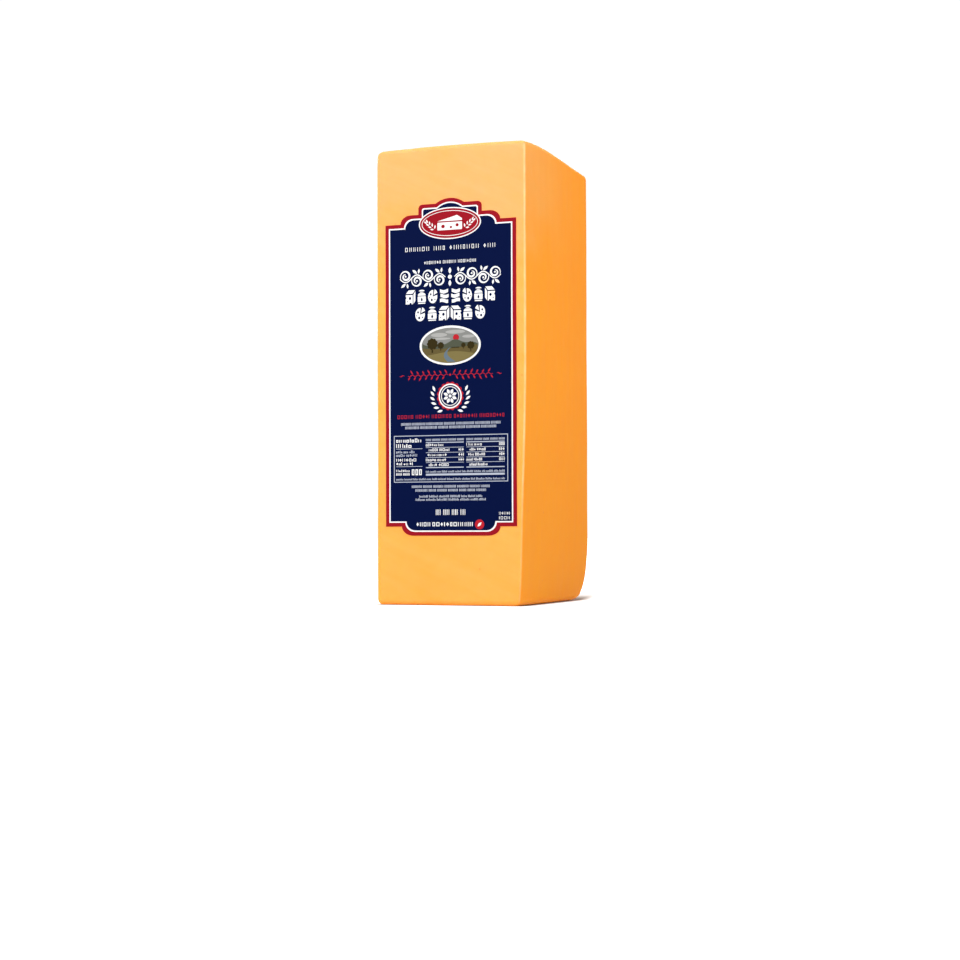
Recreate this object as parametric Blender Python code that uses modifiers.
"""A five pound block of orange cheddar that stands on its end, with a printed label on its front.

Metres, +Z up. The origin is on the floor under the middle of the block, and the labelled
face looks along -Y.
"""

import math

import bmesh
import bpy

# The block while it was still straight: along X, along Y and up
WIDTH = 0.085
DEPTH = 0.102
HEIGHT = 0.241

# Its twelve edges are worn round. Each is known by the sides it lies on, along X, Y and Z
EDGE_ROUND = {
    (1, -1, 0): 0.0015,
    (-1, -1, 0): 0.0030,
    (1, 1, 0): 0.0040,
    (-1, 1, 0): 0.0040,
    (0, -1, 1): 0.0025,
    (1, 0, 1): 0.0030,
    (0, 1, 1): 0.0040,
    (-1, 0, 1): 0.0035,
    (0, -1, -1): 0.0030,
    (1, 0, -1): 0.0030,
    (0, 1, -1): 0.0040,
    (-1, 0, -1): 0.0030,
}
ROUND_STEPS = 4

# How the soft block has sagged: the top is crowned and falls a little towards the back, the
# near edge leans in towards the floor, and the foot is drawn in along a flattened ellipse,
# most at its back right corner
CROWN_ACROSS = 0.0007
CROWN_NEAR = 0.0020
END_FALL = 0.0018
LEAN_IN = 0.00265
LEAN_TOP = 0.130
LEAN_END = 0.010
LEAN_HUG = 4
FOOT_HEIGHT = 0.038
FOOT_IN_RIGHT = 0.0050
FOOT_IN_BACK = 0.0135
FOOT_SQUARENESS = 2.3
FOOT_LEAST = 0.4

# The grid that lets its faces bend: about this far apart, and closer where the foot curves in
GRID_PITCH = 0.012
FOOT_CUTS = 7
ROUND_ZONE = 0.0045

# The label: a plaque with a stepped head and a low round crown above, and a lobe below. It was
# stuck on a little to the right of the middle
LABEL_MIDDLE = 0.0004
LABEL_HALF = 0.0370
LABEL_LOW = 0.0413
LABEL_HIGH = 0.2011
EAR_HALF = 0.0282
EAR_WIDE = 0.0056
EAR_RISE = 0.0046
HEAD_HALF = 0.0179
HEAD_RISE = 0.0053
HEAD_ROUND = 0.0022
CROWN_HALF = 0.0080
CROWN_RISE = 0.0026
LOBE_HALF = 0.0278
LOBE_WIDE = 0.0065
LOBE_DROP = 0.0048
ARC_STEPS = 8
LABEL_THICK = 0.0004
LABEL_GAP = 0.0003

# The face that carries the label, placed so that block and label together are centred
FACE_Y = -(DEPTH - LABEL_GAP - LABEL_THICK) / 2

CHEESE_COLOUR = (0.95, 0.42, 0.08, 1.0)
LABEL_COLOUR = (0.002, 0.007, 0.055, 1.0)


def clear_scene():
    for obj in list(bpy.data.objects):
        bpy.data.objects.remove(obj, do_unlink=True)


def new_collection(name):
    collection = bpy.data.collections.new(name)
    bpy.context.scene.collection.children.link(collection)
    return collection


def new_material(name, colour, roughness):
    material = bpy.data.materials.new(name)
    material.use_nodes = True
    shader = material.node_tree.nodes["Principled BSDF"]
    shader.inputs["Base Color"].default_value = colour
    shader.inputs["Roughness"].default_value = roughness
    shader.inputs["Metallic"].default_value = 0.0
    material.diffuse_color = colour
    return material


def smooth_step(start, end, value):
    """0 before start and 1 after end, with a soft rise between."""
    share = min(max((value - start) / (end - start), 0.0), 1.0)
    return share * share * (3.0 - 2.0 * share)


def near_bump(back):
    """A bump along the depth: 0 at the front and at the back, 1 a third of the way in."""
    return back * (1.0 - back) ** 2 * 27.0 / 4.0


def foot_curve(z):
    """How far the foot has drawn in at this height: 1 on the floor, 0 from FOOT_HEIGHT up."""
    below = min(max(1.0 - z / FOOT_HEIGHT, 0.0), 1.0)
    return 1.0 - (1.0 - below**FOOT_SQUARENESS) ** (1.0 / FOOT_SQUARENESS)


def settle(co):
    """Moves a point of the straight block to where it lies now that the cheese has sagged."""
    right = co.x / WIDTH + 0.5
    back = (co.y - FACE_Y) / DEPTH
    foot = foot_curve(co.z)
    lean = 1.0 - smooth_step(LEAN_END, LEAN_TOP, co.z)
    lean_in = LEAN_IN * lean * right**LEAN_HUG * (1.0 - back)
    right_in = FOOT_IN_RIGHT * foot * right * (FOOT_LEAST + (1.0 - FOOT_LEAST) * back)
    back_in = FOOT_IN_BACK * foot * back * (FOOT_LEAST + (1.0 - FOOT_LEAST) * right)
    crown = CROWN_ACROSS * (1.0 - (2.0 * co.x / WIDTH) ** 2)
    crown += CROWN_NEAR * near_bump(back) - END_FALL * back
    co.x -= lean_in + right_in
    co.y -= back_in
    co.z += crown * co.z / HEIGHT


def even_cuts(low, high, pitch):
    """Places of the cuts that part low to high into equal lengths of about this pitch."""
    count = max(1, round((high - low) / pitch))
    return [low + (high - low) * i / count for i in range(count + 1)]


def foot_levels():
    """Heights that part the foot's curve into equal turns, above the rounded edge."""
    turns = [math.pi / 2 * i / FOOT_CUTS for i in range(FOOT_CUTS + 1)]
    levels = [FOOT_HEIGHT * (1.0 - math.cos(turn)) for turn in turns]
    return [z for z in levels if z > ROUND_ZONE]


def cut(bm, axis, place):
    """Adds an edge loop all round the mesh where it crosses this plane."""
    normal = [0.0, 0.0, 0.0]
    normal[axis] = 1.0
    point = [place * n for n in normal]
    everything = bm.verts[:] + bm.edges[:] + bm.faces[:]
    bmesh.ops.bisect_plane(bm, geom=everything, plane_co=point, plane_no=normal)


def straight_block(collection):
    """The block as it was made: a box whose twelve edges have their own bevel widths."""
    widest = max(EDGE_ROUND.values())
    centre = (0.0, FACE_Y + DEPTH / 2, HEIGHT / 2)
    size = (WIDTH, DEPTH, HEIGHT)
    mesh = bpy.data.meshes.new("cheese_block")
    bm = bmesh.new()
    bmesh.ops.create_cube(bm, size=1.0)
    weights = bm.edges.layers.float.new("bevel_weight_edge")
    for edge in bm.edges:
        middle = (edge.verts[0].co + edge.verts[1].co) / 2
        sides = tuple(round(2 * value) for value in middle)
        edge[weights] = EDGE_ROUND[sides] / widest
    for vert in bm.verts:
        vert.co = [c + s * value for c, s, value in zip(centre, size, vert.co)]
    bm.to_mesh(mesh)
    bm.free()

    block = bpy.data.objects.new("cheese_block", mesh)
    collection.objects.link(block)
    bevel = block.modifiers.new("worn_edges", "BEVEL")
    bevel.limit_method = "WEIGHT"
    bevel.width = widest
    bevel.segments = ROUND_STEPS
    return block


def apply_modifiers(obj):
    """Swaps an object's mesh for the one that its modifiers make."""
    bpy.context.view_layer.update()
    evaluated = obj.evaluated_get(bpy.context.evaluated_depsgraph_get())
    made = bpy.data.meshes.new_from_object(evaluated)
    plain = obj.data
    obj.modifiers.clear()
    obj.data = made
    bpy.data.meshes.remove(plain)
    made.name = obj.name


def make_block(collection, material):
    """The cheese: a box with worn edges, cut into a grid and then sagged point by point."""
    block = straight_block(collection)
    apply_modifiers(block)

    bm = bmesh.new()
    bm.from_mesh(block.data)
    across = even_cuts(ROUND_ZONE - WIDTH / 2, WIDTH / 2 - ROUND_ZONE, GRID_PITCH)
    inwards = even_cuts(FACE_Y + ROUND_ZONE, FACE_Y + DEPTH - ROUND_ZONE, GRID_PITCH)
    upwards = foot_levels() + even_cuts(FOOT_HEIGHT, HEIGHT - ROUND_ZONE, GRID_PITCH)[1:]
    for axis, places in enumerate((across, inwards, upwards)):
        for place in places:
            cut(bm, axis, place)
    for vert in bm.verts:
        settle(vert.co)
    bm.to_mesh(block.data)
    bm.free()

    block.data.materials.clear()
    block.data.materials.append(material)
    block.data.shade_smooth()
    return block


def quarter(centre_x, centre_z, wide, high, start):
    """A quarter of an ellipse, turning anticlockwise from the start angle in degrees."""
    turns = [math.radians(start + 90.0 * i / ARC_STEPS) for i in range(ARC_STEPS + 1)]
    return [(centre_x + wide * math.cos(t), centre_z + high * math.sin(t)) for t in turns]


def arch(half, base_z, rise):
    """The right half of a round arch that springs at this half width, up to its crown."""
    radius = (half**2 + rise**2) / (2 * rise)
    spring = math.asin(half / radius)
    turns = [spring * (1.0 - i / ARC_STEPS) for i in range(ARC_STEPS + 1)]
    centre_z = base_z + rise - radius
    return [(radius * math.sin(t), centre_z + radius * math.cos(t)) for t in turns]


def label_outline():
    """The plaque's outline, anticlockwise from the middle of its foot."""
    lobe_centre = LOBE_HALF - LOBE_WIDE
    head_low = LABEL_HIGH + EAR_RISE
    head_high = head_low + HEAD_RISE
    right = [(0.0, LABEL_LOW - LOBE_DROP)]
    right += quarter(lobe_centre, LABEL_LOW, LOBE_WIDE, LOBE_DROP, -90.0)
    right += [(LABEL_HALF, LABEL_LOW), (LABEL_HALF, LABEL_HIGH)]
    right += quarter(EAR_HALF - EAR_WIDE, LABEL_HIGH, EAR_WIDE, EAR_RISE, 0.0)
    right += [(HEAD_HALF, head_low)]
    right += quarter(HEAD_HALF - HEAD_ROUND, head_high - HEAD_ROUND, HEAD_ROUND, HEAD_ROUND, 0.0)
    right += arch(CROWN_HALF, head_high, CROWN_RISE)
    left = [(-x, z) for x, z in reversed(right[1:-1])]
    return right + left


def make_label(collection, material):
    """The label: its outline as a filled 2D curve, extruded and stood up in front of the face."""
    curve = bpy.data.curves.new("label", "CURVE")
    curve.dimensions = "2D"
    curve.fill_mode = "BOTH"
    curve.extrude = LABEL_THICK / 2
    outline = label_outline()
    spline = curve.splines.new("POLY")
    spline.points.add(len(outline) - 1)
    for point, (x, z) in zip(spline.points, outline):
        point.co = (x, z, 0.0, 1.0)
    spline.use_cyclic_u = True

    label = bpy.data.objects.new("label", curve)
    collection.objects.link(label)
    label.location = (LABEL_MIDDLE, FACE_Y - LABEL_GAP - LABEL_THICK / 2, 0.0)
    label.rotation_euler = (math.pi / 2, 0.0, 0.0)
    curve.materials.append(material)
    return label


def main():
    clear_scene()
    collection = new_collection("cheddar_block")
    make_block(collection, new_material("cheddar", CHEESE_COLOUR, 0.45))
    make_label(collection, new_material("label_print", LABEL_COLOUR, 0.35))


main()
